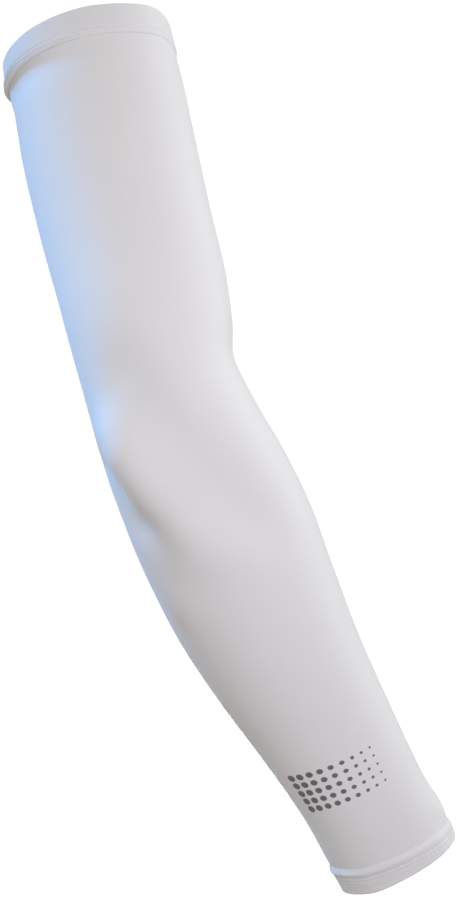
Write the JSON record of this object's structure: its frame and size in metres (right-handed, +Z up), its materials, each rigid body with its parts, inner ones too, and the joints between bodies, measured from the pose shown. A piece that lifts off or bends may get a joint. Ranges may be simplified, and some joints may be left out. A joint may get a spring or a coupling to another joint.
{
  "type": "arm compression sleeve",
  "caption": "Knitted compression sleeve in the form of a slightly bent right arm, open at both ends, with a folded elastic hem at the biceps and at the wrist.",
  "frame": {"origin": "centre of the biceps opening, where the arm goes in", "axes": "+Z up the arm, nearly from the wrist opening to the biceps opening; +X the side of the elbow's crook; -Y the outer back of the arm, which faces the viewer"},
  "size_m": [0.1079, 0.1179, 0.4482],
  "materials": {
    "knit": "smooth fine knit, faint sheen",
    "hem": "doubled fine knit, twin-needle stitched"
  },
  "bodies": {
    "root": {"sleeve_tube": "knit", "biceps_hem": "hem", "wrist_hem": "hem"}
  },
  "joints": []
}
